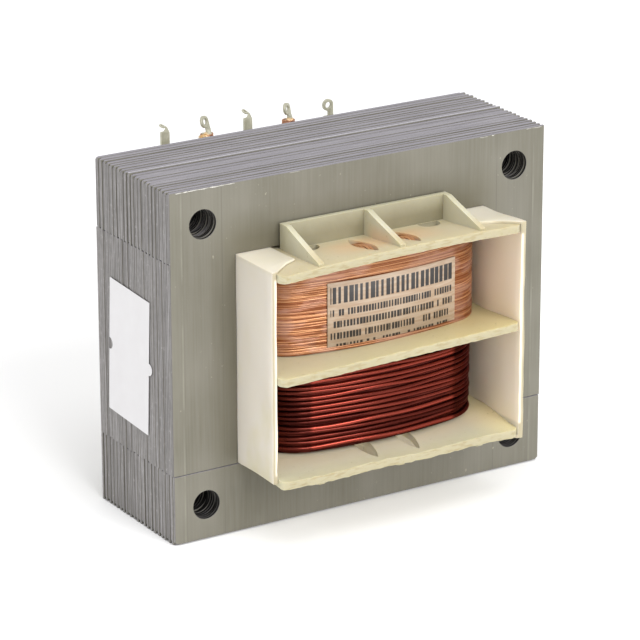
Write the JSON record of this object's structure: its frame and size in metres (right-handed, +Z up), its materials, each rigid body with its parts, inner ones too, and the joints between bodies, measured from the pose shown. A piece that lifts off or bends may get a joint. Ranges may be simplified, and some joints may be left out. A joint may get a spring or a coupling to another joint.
{
  "type": "laminated chassis transformer",
  "caption": "Mains transformer with an interleaved sheet-steel core, corner fixing holes, a two-chamber bobbin with a fine copper winding above a thicker red one, and solder lugs at the back.",
  "frame": {"origin": "centre of the core's underside, on the surface that the transformer stands on", "axes": "+X along the core's width, -Y towards the winding face that carries the label, +Z up along the limbs"},
  "size_m": [0.0661, 0.047, 0.055],
  "materials": {
    "steel_sheet": "rolled silicon steel with an olive-grey oxide film",
    "steel_sheet_edges": "the same steel, seen mostly at its cut edges",
    "bobbin_nylon": "cream translucent nylon",
    "cover_plastic": "warm white plastic, slightly soft sheen",
    "primary_copper": "fine enamelled copper wire, bright orange",
    "secondary_copper": "enamelled copper wire, dark red and glossy",
    "tinned_lug": "tinned, dull with bright solder",
    "label_film": "thin clear-white film label",
    "sticker_paper": "white paper sticker"
  },
  "bodies": {
    "root": {"e_laminations_yoke_up": "steel_sheet", "i_laminations_bottom": "steel_sheet", "e_laminations_yoke_down": "steel_sheet_edges", "i_laminations_top": "steel_sheet_edges", "bobbin": "bobbin_nylon", "side_cover_left": "cover_plastic", "side_cover_right": "cover_plastic", "primary_winding": "primary_copper", "inner_secondary_winding": "secondary_copper", "outer_secondary_winding": "secondary_copper", "top_lug_1": "tinned_lug", "top_lug_2": "tinned_lug", "top_lug_3": "tinned_lug", "top_lug_4": "tinned_lug", "top_lug_5": "tinned_lug", "bottom_lug_1": "tinned_lug", "bottom_lug_2": "tinned_lug", "bottom_lug_3": "tinned_lug", "bottom_lug_4": "tinned_lug", "bottom_lug_5": "tinned_lug", "rating_label": "label_film", "side_label": "sticker_paper"}
  },
  "joints": []
}
